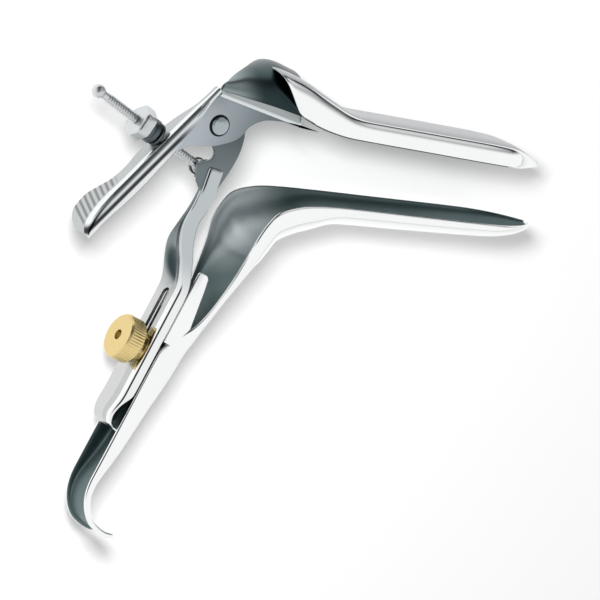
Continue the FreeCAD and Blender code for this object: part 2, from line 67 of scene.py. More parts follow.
# %% [markdown]
# The real pivot rivet is the natural place to measure from. Its node says where it is,
# and every size below is given in millimetres from that point, with X forward along the
# blades, Y from the lower blade to the upper one, and Z towards the side with the pivot.

# %% Where the pivot is
rivet_low, rivet_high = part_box("pivot_rivet")
rivet_middle = (rivet_low + rivet_high) / 2
RIVET_TOP = 21.4
PIVOT = Vector((rivet_middle.x, rivet_middle.y, rivet_high.z - RIVET_TOP * MM))


def at(x, y, z):
    """A point given in millimetres from the pivot, as a place in the frame."""
    return PIVOT + Vector((x, y, z)) * MM


def heading(angle):
    return Vector((cos(radians(angle)), sin(radians(angle)), 0))


print("pivot at", [round(v, 4) for v in PIVOT])

# %% [markdown]
# The camera looks down on the open instrument from its near side. A short lens would
# make the near end of the handle too large, so a long one is chosen, and the two blades
# keep their true proportions. A camera is turned by its three own directions: right, up
# and back. Its distance follows from the width that it must see.

# %% Camera
CAMERA_RIGHT = (0.883, 0.0, 0.469)
CAMERA_BACK = (-0.453, 0.259, 0.853)
VIEW_WIDTH = 230.8 * MM
VIEW_CENTRE = at(19.2, -64.8, 49.8)
LENS = 1500.0
SENSOR = 36.0

camera_right = Vector(CAMERA_RIGHT).normalized()
camera_back = Vector(CAMERA_BACK).normalized()
camera_back = (camera_back - camera_right * camera_back.dot(camera_right)).normalized()
camera_up = camera_back.cross(camera_right)
camera_data = bpy.data.cameras.new("camera")
camera_data.lens = LENS
camera_data.sensor_width = SENSOR
camera = bpy.data.objects.new("camera", camera_data)
scene.collection.objects.link(camera)
camera_turn = Matrix((camera_right, camera_up, camera_back)).transposed().to_4x4()
camera_distance = VIEW_WIDTH / 2 * LENS / (SENSOR / 2)
camera.matrix_world = Matrix.Translation(VIEW_CENTRE + camera_back * camera_distance) @ camera_turn
scene.camera = camera
print("camera distance", round(camera_distance, 3))

# %% [markdown]
# Shader nodes are easier to read as sums than as boxes and wires. This small class wraps
# one socket, so that `mask * 0.5 + 0.1` adds the Math nodes for us. Everything else is
# made by one method, which takes the node's type, its settings and its inputs.

# %% Shader expressions


class Shade:
    def __init__(self, tree, socket):
        self.tree, self.socket = tree, socket

    def math(self, operation, *values):
        return make_node(self.tree, "ShaderNodeMath", {"operation": operation}, values)

    def __add__(self, other):
        return self.math("ADD", self, other)

    def __radd__(self, other):
        return self.math("ADD", other, self)

    def __sub__(self, other):
        return self.math("SUBTRACT", self, other)

    def __rsub__(self, other):
        return self.math("SUBTRACT", other, self)

    def __mul__(self, other):
        return self.math("MULTIPLY", self, other)

    def __rmul__(self, other):
        return self.math("MULTIPLY", other, self)

    def step(self, low, high):
        """0 below low, 1 above high, and smooth between."""
        return make_node(self.tree, "ShaderNodeMapRange", {"interpolation_type": "SMOOTHSTEP"},
                         {"Value": self, "From Min": low, "From Max": high})


def make_node(tree, kind, settings, inputs, output=0):
    """Adds one node, sets it up, links or fills its sockets and returns one output."""
    node = tree.nodes.new(kind)
    for name, value in settings.items():
        if name == "stops":
            ramp = node.color_ramp
            while len(ramp.elements) < len(value):
                ramp.elements.new(0.5)
            for element, (place, colour) in zip(ramp.elements, value):
                element.position = place
                element.color = colour + (1.0,)
        else:
            setattr(node, name, value)
    pairs = inputs.items() if isinstance(inputs, dict) else enumerate(inputs)
    for name, value in pairs:
        if isinstance(value, Shade):
            tree.links.new(value.socket, node.inputs[name])
        else:
            node.inputs[name].default_value = value
    return Shade(tree, node.outputs[output])


def new_material(name):
    material = bpy.data.materials.new(name)
    material.use_nodes = True
    material.node_tree.nodes.clear()
    return material, material.node_tree


def finish_material(tree, shader):
    output = tree.nodes.new("ShaderNodeOutputMaterial")
    tree.links.new(shader.socket, output.inputs["Surface"])


print("shader helper ready")

# %% [markdown]
# Polished steel shows its surroundings, so the surroundings are the real material of this
# picture. Catalogue photographers set the piece in a white tent and leave gaps in it, so
# that the steel also has something dark to show. They could be built from planes, but a
# world that answers by direction is simpler. To the camera it is white, to lighting it is
# a plain pale sky, and to a shiny surface it is white with two dark gaps: one past the
# upper blade and one behind the camera, with a lighter patch between the two.

# %% World
world = bpy.data.worlds.new("studio")
scene.world = world
world.use_nodes = True
world_tree = world.node_tree
world_tree.nodes.clear()
SKY_LEVEL = 0.35
GAP_COLOUR = (0.018, 0.030, 0.034, 1.0)
TENT_COLOUR = (1.0, 1.0, 1.0, 1.0)
# direction, and the cosines at which the mask begins and is full
BLADE_GAP = ((0.35, 0.90, 0.25), 0.25, 0.75)
CAMERA_GAP = ((-0.50, 0.30, 0.80), 0.86, 0.97)
LIGHT_PATCH = ((0.52, 0.56, 0.64), 0.86, 0.99)
PATCH_STRENGTH = 0.70


def direction_mask(tree, direction, low, high):
    """1 where the ray runs close to a direction, by the cosine between the two."""
    coords = make_node(tree, "ShaderNodeTexCoord", {}, {}, 0)
    aim = Vector(direction).normalized()
    dot = make_node(tree, "ShaderNodeVectorMath", {"operation": "DOT_PRODUCT"},
                    {0: coords, 1: aim}, "Value")
    return dot.step(low, high)


ray = world_tree.nodes.new("ShaderNodeLightPath")
is_camera = Shade(world_tree, ray.outputs["Is Camera Ray"])
is_glossy = Shade(world_tree, ray.outputs["Is Glossy Ray"])
blade_gap = direction_mask(world_tree, *BLADE_GAP)
camera_gap = direction_mask(world_tree, *CAMERA_GAP)
patch = direction_mask(world_tree, *LIGHT_PATCH)
gaps = blade_gap.math("MAXIMUM", blade_gap, camera_gap) * (1 - patch * PATCH_STRENGTH)
reflected = make_node(world_tree, "ShaderNodeMix", {"data_type": "RGBA"},
                      {"Factor": gaps, 6: TENT_COLOUR, 7: GAP_COLOUR}, 2)
sky = make_node(world_tree, "ShaderNodeBackground", {},
                {"Color": (1, 1, 1, 1), "Strength": SKY_LEVEL})
white = make_node(world_tree, "ShaderNodeBackground", {},
                  {"Color": (1, 1, 1, 1), "Strength": 1.0})
tent = make_node(world_tree, "ShaderNodeBackground", {}, {"Color": reflected, "Strength": 1.0})
lit = make_node(world_tree, "ShaderNodeMixShader", {}, (is_glossy, sky, tent))
seen = make_node(world_tree, "ShaderNodeMixShader", {}, (is_camera, lit, white))
world_out = world_tree.nodes.new("ShaderNodeOutputWorld")
world_tree.links.new(seen.socket, world_out.inputs["Surface"])
print("world nodes", len(world_tree.nodes))

# %% [markdown]
# The table is a large white plane at the height where the instrument rests. It has to
# look as white as the page and still hold the soft shadow, so a plain white surface gets
# a little glow of its own: where the light is blocked, only the glow is left. One square
# lamp, a little larger than the instrument, casts that shadow. It is kept out of
# reflections, where it would draw a hard white square on the steel.

# %% Table and lamp
TABLE_HALF = 3.0
TABLE_GREY = 0.68
TABLE_GLOW = 0.30
LAMP_TRAVEL = (0.46, -0.40, -0.76)
LAMP_DISTANCE = 1.2
LAMP_SIZE = 0.24
LAMP_POWER = 15.0

bpy.ops.object.select_all(action="DESELECT")
bpy.ops.mesh.primitive_plane_add(size=2 * TABLE_HALF, location=(0, 0, cad_low.z))
table = bpy.context.object
table.name = "table"
bpy.ops.object.transform_apply(location=True, rotation=True, scale=True)
table_material, table_tree = new_material("table_white")
table_shader = make_node(table_tree, "ShaderNodeBsdfPrincipled", {}, {
    "Base Color": (TABLE_GREY, TABLE_GREY, TABLE_GREY, 1), "Roughness": 0.9,
    "Specular IOR Level": 0.1, "Emission Color": (1, 1, 1, 1), "Emission Strength": TABLE_GLOW})
finish_material(table_tree, table_shader)
table.data.materials.append(table_material)

lamp_data = bpy.data.lights.new("key", "AREA")
lamp_data.shape = "SQUARE"
lamp_data.size = LAMP_SIZE
lamp_data.energy = LAMP_POWER
lamp = bpy.data.objects.new("key", lamp_data)
lamp.visible_glossy = False
scene.collection.objects.link(lamp)
lamp_aim = Vector(LAMP_TRAVEL).normalized()
lamp_place = (cad_low + cad_high) / 2 - lamp_aim * LAMP_DISTANCE
lamp.matrix_world = (Matrix.Translation(lamp_place)
                     @ lamp_aim.to_track_quat("-Z", "Y").to_matrix().to_4x4())
scene.view_settings.view_transform = "Standard"
print("table at", round(cad_low.z, 4), "lamp power", LAMP_POWER)

# %% [markdown]
# Nearly every piece of this instrument is pressed from sheet steel. A piece is known by
# its sections at a few places, so the first helper fills in the sections between them. A
# cubic curve does it whose slopes are held back where a plain one would swing past.

# %% Sections between stations
LEAST_GAP = 0.2


def slopes(places, values):
    """Slopes that let a cubic pass through the values without overshoot."""
    steps = [b - a for a, b in zip(places, places[1:])]
    rates = [(b - a) / h for a, b, h in zip(values, values[1:], steps)]
    result = [rates[0]]
    for i in range(1, len(rates)):
        before, after = rates[i - 1], rates[i]
        if before * after <= 0:
            result.append(0.0)
        else:
            w_before, w_after = 2 * steps[i] + steps[i - 1], steps[i] + 2 * steps[i - 1]
            result.append((w_before + w_after) / (w_before / before + w_after / after))
    return result + [rates[-1]]


def between(rows, step):
    """Rows of numbers about step apart, smooth and without overshoot."""
    places = [0.0]
    for a, b in zip(rows, rows[1:]):
        places.append(places[-1] + max(LEAST_GAP, sqrt((a[0] - b[0]) ** 2 + (a[1] - b[1]) ** 2)))
    columns = list(zip(*rows))
    leans = [slopes(places, column) for column in columns]
    result = []
    for i in range(len(rows) - 1):
        gap = places[i + 1] - places[i]
        count = max(1, int(gap / step + 0.5))
        for j in range(count):
            t = j / count
            result.append([
                (1 + 2 * t) * (1 - t) ** 2 * col[i] + t * (1 - t) ** 2 * gap * lean[i]
                + t * t * (3 - 2 * t) * col[i + 1] - t * t * (1 - t) * gap * lean[i + 1]
                for col, lean in zip(columns, leans)])
    return result + [list(rows[-1])]


print("two stations 6 mm apart give", len(between([(0, 0), (6, 0)], 2.0)), "rows")

# %% [markdown]
# One more helper makes the sheets. It adds a flat grid, moves each row of its points onto
# a section of the piece, gives the sheet its thickness with a Solidify modifier and
# rounds it with a Subdivision Surface. Extruding and bending a plane by hand would do for
# one piece, but a polished surface shows every facet, so all of them get close rows.

# %% Sheet helper
SHEET = 1.4


def select_only(piece):
    bpy.ops.object.select_all(action="DESELECT")
    piece.select_set(True)
    bpy.context.view_layer.objects.active = piece


def apply_modifier(piece, kind, **settings):
    select_only(piece)
    modifier = piece.modifiers.new(kind.lower(), kind)
    for name, value in settings.items():
        setattr(modifier, name, value)
    bpy.ops.object.modifier_apply(modifier=modifier.name)


def grid_piece(name, rows):
    """A flat grid whose points are moved onto rows of points in millimetres."""
    bpy.ops.object.select_all(action="DESELECT")
    bpy.ops.mesh.primitive_grid_add(x_subdivisions=len(rows[0]) - 1, y_subdivisions=len(rows) - 1,
                                    size=1, location=(0, 0, 0))
    piece = bpy.context.object
    piece.name = name
    for vertex, point in zip(piece.data.vertices, [p for row in rows for p in row]):
        vertex.co = at(*point)
    return piece


def press_sheet(name, rows, flip=False, bands=()):
    """A sheet piece through rows of points; flip puts its thickness on the other side.

    Slots 0 and 1 are its two sides. The columns of each band have two slots of their own.
    """
    piece = grid_piece(name, rows)
    for _ in range(2 + 2 * len(bands)):
        piece.data.materials.append(None)
    across = len(rows[0]) - 1
    for i, face in enumerate(piece.data.polygons):
        for j, (first, last) in enumerate(bands):
            if first <= i % across < last:
                face.material_index = 2 + 2 * j
    if flip:
        bpy.ops.object.mode_set(mode="EDIT")
        bpy.ops.mesh.select_all(action="SELECT")
        bpy.ops.mesh.flip_normals()
        bpy.ops.object.mode_set(mode="OBJECT")
    apply_modifier(piece, "SOLIDIFY", thickness=SHEET * MM, offset=-1.0, use_even_offset=True,
                   material_offset=1)
    apply_modifier(piece, "SUBSURF", levels=1, render_levels=1)
    select_only(piece)
    bpy.ops.object.shade_smooth()
    print(name, "faces", len(piece.data.polygons))
    return piece


print("sheet thickness", SHEET)

# %% [markdown]
# The lower blade, its dish, the handle and the hook are one pressing. Each section of it
# is a trough: nearly a half ellipse with squarer corners. It has a rim point, a direction
# in which it opens, half a width and a depth, and these change along the piece. A blade
# keeps its width almost to the end and then closes in a rounded tip.

# %% Trough sections
ACROSS = 26
TIP_SHARES = (1.0, 0.985, 0.95, 0.90, 0.84, 0.77, 0.60, 0.30, 0.0)
TIP_START = 0.70
TIP_WIDTH = 0.12
TIP_DEPTH = SHEET + 0.3
TIP_FALL = 1.3


def trough(rim_x, rim_y, opening, half_width, depth, squareness, far_squareness=None):
    """A section from the far rim to the near one; the far side may have its own squareness."""
    up = heading(opening)
    row = []
    for i in range(ACROSS + 1):
        turn = radians(-90 + 180 * i / ACROSS)
        side = 1 if turn > 0 else -1
        power = 2.0 / (squareness if side > 0 or far_squareness is None else far_squareness)
        across = side * abs(sin(turn)) ** power * half_width
        rise = depth * (1 - abs(cos(turn)) ** power) if abs(sin(turn)) < 0.9999 else depth
        row.append((rim_x + up.x * (rise - depth), rim_y + up.y * (rise - depth), across))
    return row


def blade_stations(root, slope, turn, length, half_width, root_depth, squareness, roundness,
                   thinning=0.0):
    """Stations of a straight blade with a rounded tip, from the tip to the root."""
    stations = []
    for share in TIP_SHARES:
        past = max(0.0, (share - TIP_START) / (1 - TIP_START))
        width = max(TIP_WIDTH, max(0.0, 1 - past * past) ** roundness)
        depth = root_depth * (1 - thinning * share)
        rim = Vector((root[0], root[1], 0)) + heading(slope) * (length * share)
        stations.append((rim.x, rim.y, slope + turn, half_width * width,
                         TIP_DEPTH + (depth - TIP_DEPTH) * width ** TIP_FALL, squareness))
    return stations


print("points across a trough", ACROSS + 1)

# %% [markdown]
# On the real instrument, one strip is pressed into blade, dish, handle and hook, so one
# sheet makes them here too. The blade and the dish are given by points of their rim. The
# handle is given along its own straight line, and there the section gets squarer.

# %% Lower blade
HANDLE_POINT = (-32.6, -109.6)
HANDLE_ANGLE = 58.0
HANDLE_HALF_WIDTH = 8.5
BLADE_HALF_WIDTH = 17.5
LOWER_ROWS = 3.0
LOWER_BLADE = blade_stations((58.2, -40.9), slope=-12.9, turn=90, length=90.0,
                             half_width=BLADE_HALF_WIDTH, root_depth=9.4, squareness=2.0,
                             roundness=0.58, thinning=0.28)
# rim point, opening direction, half width, depth, squareness
DISH_STATIONS = [
    (46.5, -38.4, 79.0, 18.2, 13.0, 2.1),
    (35.8, -37.0, 84.0, 19.4, 15.5, 2.2),
    (24.5, -39.0, 98.0, 20.2, 17.0, 2.3),
    (16.8, -47.5, 113.0, 19.6, 14.0, 2.5),
]
# along the handle, rim forward of its line, turn past the rear, half width, depth, squareness
HANDLE_STATIONS = [
    (72.0, 9.8, -22.0, 17.8, 9.4, 3.0),
    (60.0, 10.4, -14.2, 15.5, 5.6, 3.5),
    (48.0, 10.3, -6.5, 12.5, 4.2, 3.5),
    (38.0, 8.8, 0.0, 9.8, 5.2, 3.5),
    (31.0, 4.5, 0.0, HANDLE_HALF_WIDTH, 8.8, 5.0),
    (28.0, 2.0, 0.0, HANDLE_HALF_WIDTH, 10.6, 5.0),
    (25.0, 0.5, 0.0, HANDLE_HALF_WIDTH, 12.0, 5.0),
    (22.0, 0.05, 0.0, HANDLE_HALF_WIDTH, 12.2, 5.0),
    (0.0, 0.0, 0.0, HANDLE_HALF_WIDTH, 9.6, 5.0),
    (-20.0, 0.0, 0.0, HANDLE_HALF_WIDTH, 7.2, 5.0),
    (-33.0, 0.0, 0.0, HANDLE_HALF_WIDTH, 4.6, 5.0),
    (-39.0, 1.0, 12.0, 8.3, 4.0, 5.0),
    (-45.0, 4.4, 38.0, 8.3, 3.5, 5.0),
    (-49.4, 10.6, 72.0, 8.2, 3.1, 5.0),
    (-50.4, 17.4, 94.0, 8.0, 2.8, 5.0),
    (-48.9, 22.6, 104.0, 7.0, 2.4, 5.0),
]


def along_handle(s, forward, z=0.0):
    place = (Vector((HANDLE_POINT[0], HANDLE_POINT[1], z)) + heading(HANDLE_ANGLE) * s
             + heading(HANDLE_ANGLE - 90) * forward)
    return (place.x, place.y, place.z)


def handle_frame(station):
    """The same station with its rim given along and across the handle."""
    offset = Vector((station[0] - HANDLE_POINT[0], station[1] - HANDLE_POINT[1], 0))
    return (offset.dot(heading(HANDLE_ANGLE)), offset.dot(heading(HANDLE_ANGLE - 90))) + station[2:]


lower_stations = [handle_frame(station) for station in LOWER_BLADE + DISH_STATIONS]
lower_stations += [(s, f, HANDLE_ANGLE + 90 + turn, *rest) for s, f, turn, *rest in HANDLE_STATIONS]
lower_rows = [trough(*along_handle(s, f)[:2], *rest)
              for s, f, *rest in between(lower_stations, LOWER_ROWS)]
lower_blade = press_sheet("lower_blade_pressing", lower_rows)

# %% [markdown]
# Where the handle meets the dish, each wall stands up in a flat tab that guides the frame.
# A tab is a flat outline, so it is extruded rather than pressed. A Bevel modifier rounds
# its edges, as tumbling does to the real one.

# %% Handle tabs
# along the handle and forward of its line
TAB_OUTLINE = [(27.0, 0.0), (57.0, 0.0), (57.5, 1.2), (57.5, 3.6), (56.0, 5.0), (33.0, 8.4),
               (27.0, 9.0)]
TAB_EDGE = 0.25


def face_outward(piece, merge=0.0):
    """Turns every face outward, after merging points closer than merge, in millimetres."""
    select_only(piece)
    bpy.ops.object.mode_set(mode="EDIT")
    bpy.ops.mesh.select_all(action="SELECT")
    if merge:
        bpy.ops.mesh.remove_doubles(threshold=merge * MM)
    bpy.ops.mesh.normals_make_consistent(inside=False)
    bpy.ops.object.mode_set(mode="OBJECT")


def extruded(name, outline, travel):
    """A solid from the points of an outline, carried along a direction in metres."""
    mesh = bpy.data.meshes.new(name)
    mesh.from_pydata(outline, [], [list(range(len(outline)))])
    piece = bpy.data.objects.new(name, mesh)
    scene.collection.objects.link(piece)
    select_only(piece)
    bpy.ops.object.mode_set(mode="EDIT")
    bpy.ops.mesh.select_all(action="SELECT")
    bpy.ops.mesh.extrude_region_move(TRANSFORM_OT_translate={"value": travel})
    bpy.ops.object.mode_set(mode="OBJECT")
    face_outward(piece)
    return piece


def plate(name, outline, z_low, z_high, edge):
    """A flat plate with rounded edges, from an outline in millimetres."""
    piece = extruded(name, [at(x, y, z_low) for x, y in outline], (0, 0, (z_high - z_low) * MM))
    apply_modifier(piece, "BEVEL", width=edge * MM, segments=3, limit_method="ANGLE",
                   angle_limit=radians(50))
    select_only(piece)
    bpy.ops.object.shade_smooth_by_angle(angle=radians(35))
    print(name, "faces", len(piece.data.polygons))
    return piece


tab_outline = [along_handle(s, f)[:2] for s, f in TAB_OUTLINE]
tabs = [plate("handle_tab_" + side, tab_outline, low, low + SHEET, TAB_EDGE)
        for side, low in (("near", HANDLE_HALF_WIDTH - SHEET), ("far", -HANDLE_HALF_WIDTH))]

# %% [markdown]
# The upper blade is a shallower trough with flatter walls, and it opens down towards the
# lower blade. Its root widens and laps over the hood that carries it. It is made as the
# lower blade is, but its near corner is much squarer, because that is the bright edge in
# the photograph. Its top and far wall are a band of their own, polished softer than the
# near wall and painted darker, as painted shade.

# %% Upper blade
UPPER_ROWS = 3.0
UPPER_SQUARENESS = 6.0
FAR_SQUARENESS = 2.4
TOP_COLUMNS = (0, 20)
UPPER_BLADE = blade_stations((66.0, -15.6), slope=-16.0, turn=-90, length=86.5,
                             half_width=BLADE_HALF_WIDTH, root_depth=9.2,
                             squareness=UPPER_SQUARENESS, roundness=1.0)
# rim point, opening direction, half width, depth, squareness
UPPER_ROOT = [
    (58.0, -13.2, -104.0, 17.9, 10.2, UPPER_SQUARENESS),
    (51.5, -10.6, -100.0, 18.4, 12.6, UPPER_SQUARENESS),
    (45.0, -7.4, -97.0, 18.9, 14.6, UPPER_SQUARENESS),
    (36.2, -1.6, -70.0, 18.4, 20.2, UPPER_SQUARENESS),
]
upper_rows = [trough(*values, FAR_SQUARENESS)
              for values in between(UPPER_BLADE + UPPER_ROOT, UPPER_ROWS)]
upper_blade = press_sheet("upper_blade_pressing", upper_rows, flip=True, bands=(TOP_COLUMNS,))

# %% [markdown]
# The ear, the hood and the thumb lever are one more pressing, welded to the upper blade.
# The lever is a shallow channel. Its section is drawn once, as the outline of a web with
# two walls and round corners, and is carried along the lever, which bows a little and
# widens to the thumb rest at its end. The ribs of the rest are a wave on the web. Real
# ones are pressed from behind too, so moving the points serves better than adding bars.

# %% Thumb lever
APEX = (0.8, 13.7)
LEVER_ANGLE = 218.3
LEVER_LENGTH = 77.0
EAR_OUT = 20.0
# along the lever, drop of its outer face, far edge of the web, near wall and far wall heights
LEVER_STATIONS = [
    (-0.6, 0.0, 15.6, 1.8, 1.6),
    (5.0, 0.0, 15.4, 2.2, 1.6),
    (9.0, 0.0, 15.0, 3.0, 1.6),
    (14.0, 0.0, 12.6, 5.0, 2.4),
    (20.0, 0.0, 10.0, 6.2, 3.4),
    (25.0, 0.0, 8.8, 6.4, 3.6),
    (38.0, 0.0, 8.8, 6.8, 3.6),
    (46.0, 0.0, 9.8, 7.2, 3.4),
    (52.0, 0.0, 9.2, 7.2, 3.0),
    (58.0, 0.0, 6.0, 7.0, 2.4),
    (64.0, 0.3, 2.4, 6.2, 2.0),
    (70.0, 1.2, 2.0, 5.0, 1.6),
    (74.0, 2.6, 4.6, 3.6, 1.6),
    (76.4, 4.0, 8.6, 2.2, 1.6),
    (LEVER_LENGTH, 4.6, 11.2, 1.6, 1.6),
]
LEVER_ROWS = 0.65
SIDE_COLUMNS = (16, 30)
RIB_START, RIB_END, RIB_PITCH, RIB_HEIGHT = 52.0, 72.8, 2.6, 0.55
RIB_SKEW, RIB_MIDDLE = 0.367, 11.0
RIB_MARGIN, RIB_FADE = 1.2, 0.8
FOLD_R = 2.6
FAR_FOLD_R = 1.6
FOLD_SHARE = 0.8


def along_lever(a, out, z=0.0):
    place = (Vector((APEX[0], APEX[1], z)) + heading(LEVER_ANGLE) * a
             + heading(LEVER_ANGLE - 90) * out)
    return (place.x, place.y, place.z)


def arc(centre, radius, start, end, count):
    return [(centre[0] + radius * cos(radians(start + (end - start) * i / count)),
             centre[1] + radius * sin(radians(start + (end - start) * i / count)))
            for i in range(count + 1)]


def line(start, end, count):
    return [(start[0] + (end[0] - start[0]) * i / count, start[1] + (end[1] - start[1]) * i / count)
            for i in range(count)]


def rib_lift(a, z, far):
    """How far a thumb rib stands out of the web at this point."""
    if not RIB_START < a < RIB_END:
        return 0.0
    a -= RIB_SKEW * (z - RIB_MIDDLE)
    inner = min(z - far - RIB_MARGIN, EAR_OUT - RIB_MARGIN - FOLD_R - z)
    wave = max(0.0, sin(2 * pi * (a - RIB_START) / RIB_PITCH))
    return RIB_HEIGHT * wave * max(0.0, min(1.0, inner / RIB_FADE))


def lever_row(station):
    """The section from the far edge over the web to the near edge."""
    a, drop, far, near_wall, far_wall = station
    web = SHEET - drop
    fold = min(FOLD_R, near_wall * FOLD_SHARE)
    far_fold = min(FAR_FOLD_R, far_wall * FOLD_SHARE)
    section = line((far, web - far_wall), (far, web - far_fold), 2)
    section += arc((far + far_fold, web - far_fold), far_fold, 180, 90, 5)
    section += line((far + far_fold, web), (EAR_OUT - fold, web), 10)[1:]
    section += arc((EAR_OUT - fold, web - fold), fold, 90, 0, 7)
    section += line((EAR_OUT, web - fold), (EAR_OUT, web - near_wall), 3)[1:]
    section.append((EAR_OUT, web - near_wall))
    return [along_lever(a, out + rib_lift(a, z, far), z) for z, out in section]


lever_rows = [lever_row(station) for station in between(LEVER_STATIONS, LEVER_ROWS)]
lever = press_sheet("thumb_lever", lever_rows, flip=True, bands=(SIDE_COLUMNS,))

# %% [markdown]
# The ear is the flat side of that pressing and turns on the pivot rivet. It is made as a
# plate, from its outline. Its under side has a long shallow arch, and its foot swings
# round the pivot in one curve, so both are drawn through a few points. It stays a hair
# behind the lever's wall and a little below the fold, so that no two faces coincide.

# %% Ear
EAR_THICK = 1.4
EAR_BEHIND_WALL = 0.03
EAR_BELOW_FOLD = 2.1
EAR_EDGE = 0.2
FOLD_END = (37.0, -3.6)
EAR_ARCH = [(42.5, -7.6), (35.0, -4.2), (28.6, -2.2), (20.0, -0.5), (13.8, -1.9), (11.4, -3.8)]
EAR_FOOT = [(11.4, -3.8), (8.6, -6.0), (4.3, -7.3), (-3.0, -7.8), (-8.5, -7.2), (-12.0, -6.3)]
# along the lever and out of it, back up to the apex
EAR_BACK = [(30.0, -4.2), (16.0, -1.2), (8.0, 0.2)]


def curve_through(points, count):
    """Points on a smooth curve through the given ones."""
    result = []
    for i in range(len(points) - 1):
        p0, p1 = points[max(0, i - 1)], points[i]
        p2, p3 = points[i + 1], points[min(len(points) - 1, i + 2)]
        for j in range(count):
            t = j / count
            result.append(tuple(
                0.5 * (2 * b + (c - a) * t + (2 * a - 5 * b + 4 * c - d) * t * t
                       + (3 * b - a - 3 * c + d) * t ** 3)
                for a, b, c, d in zip(p0, p1, p2, p3)))
    return result + [tuple(points[-1])]


fold_line = Vector((FOLD_END[0] - APEX[0], FOLD_END[1] - APEX[1], 0))
below_fold = Vector((fold_line.y, -fold_line.x, 0)).normalized()
ear_outline = [(x + below_fold.x * EAR_BELOW_FOLD, y + below_fold.y * EAR_BELOW_FOLD)
               for x, y in (APEX, FOLD_END)]
ear_outline += curve_through(EAR_ARCH, 5) + curve_through(EAR_FOOT, 4)[1:]
ear_outline += [along_lever(a, out)[:2] for a, out in EAR_BACK]
ear = plate("ear", ear_outline, EAR_OUT - EAR_THICK, EAR_OUT - EAR_BEHIND_WALL, EAR_EDGE)

# %% [markdown]
# The hood rises from the ear in one bend, and its bright round fold is the line that the
# photograph shows first. Each section starts flat in the ear, turns through the fold and
# runs in an arc to the far side. The arc is known by its two ends and its rise, so its
# centre is worked out from them. The fold is a band of its own, as it is polished more.

# %% Hood
# X on the fold, and the place where the section ends on the far side
HOOD_STATIONS = [
    (0.9, 5.5, 16.3, 16.9),
    (2.6, 6.5, 16.6, 15.6),
    (12.0, 17.5, 18.2, 7.0),
    (24.0, 31.0, 16.6, -7.0),
    (36.5, 44.0, 8.4, -15.0),
]
HOOD_ROWS = 2.4
HOOD_ACROSS = 20
HOOD_RISE = 0.24
HOOD_LEAN = (0.5, 1.0, 0.0)
HOOD_TUCK = 0.9
FOLD_COLUMNS = (0, 3)
# how far below the fold and behind the ear's face the hem runs
HEM_STEPS = ((2.6, 0.0), (1.3, 0.02), (0.25, 0.12))


def hood_row(station):
    near_x, far_x, far_y, far_z = station
    edge = Vector((APEX[0], APEX[1], EAR_OUT)) + fold_line * ((near_x - APEX[0]) / fold_line.x)
    near = edge - Vector((0, 0, HOOD_TUCK))
    chord = Vector((far_x, far_y, far_z)) - near
    lean = Vector(HOOD_LEAN).normalized()
    lean = (lean - chord * (lean.dot(chord) / chord.dot(chord))).normalized()
    radius = chord.length * (0.25 + HOOD_RISE ** 2) / (2 * HOOD_RISE)
    centre = near + chord / 2 - lean * (radius - chord.length * HOOD_RISE)
    half_turn = 2 * atan(2 * HOOD_RISE)
    row = [edge + below_fold * fall - Vector((0, 0, tuck)) for fall, tuck in HEM_STEPS]
    for i in range(1, HOOD_ACROSS + 1):
        turn = half_turn * (2 * i / HOOD_ACROSS - 1)
        row.append(centre + (lean * cos(turn) + chord.normalized() * sin(turn)) * radius)
    return [tuple(point) for point in row]


hood_rows = [hood_row(station) for station in between(HOOD_STATIONS, HOOD_ROWS)]
hood = press_sheet("hood", hood_rows, flip=True, bands=(FOLD_COLUMNS,))

# %% [markdown]
# A plate is welded to the arm and carries the pivot; its dark colour, grading lighter
# towards the lower blade, is painted shade. Its front edge is one long curve that runs out
# behind the arm, and its rear edge leaves a small window under the ear. It is flat, so the
# same helper makes it that made the ear.

# %% Pivot plate
PLATE_HIGH = 18.0
PLATE_THICK = 1.4
PLATE_EDGE = 0.2
PLATE_FRONT = [(5.6, 6.0), (11.0, 1.0), (12.2, -5.0), (10.4, -11.6), (7.0, -17.4), (2.6, -23.0),
               (-2.4, -28.5)]
PLATE_FOOT = [(-6.4, -28.0)]
PLATE_REAR = [(-8.8, -21.4), (-8.6, -15.4), (-7.6, -14.3), (-2.8, -13.8), (-1.0, -11.6),
              (-1.6, -9.2), (-3.2, -6.6), (-5.4, 3.4)]

plate_outline = curve_through(PLATE_FRONT, 5) + PLATE_FOOT + curve_through(PLATE_REAR, 4)
pivot_piece = plate("pivot_plate_cut", plate_outline, PLATE_HIGH - PLATE_THICK, PLATE_HIGH,
                    PLATE_EDGE)

# %% [markdown]
# The frame is a third pressing: a channel that rides on the rims of the handle, with its
# web turned to the back. Below, the web swings back and curls into the handle as a foot.
# Above, it steps back past the dish, and its near wall goes on alone up to the pivot. It
# is carried along the handle as the lever was along its own line. A hollow is stamped in
# its web above the slot, and moving the web's points inward makes it.

# %% Frame
FRAME_ROWS = 1.8
WALL_BEND = 1.7
BEND_SHARE = 0.9
BEND_COLUMNS, WALL_COLUMNS = (13, 16), (16, 30)
STEM_REAR = -4.8
STEM_TURN = HANDLE_ANGLE - 90
STEM_HALF_WIDTH = HANDLE_HALF_WIDTH
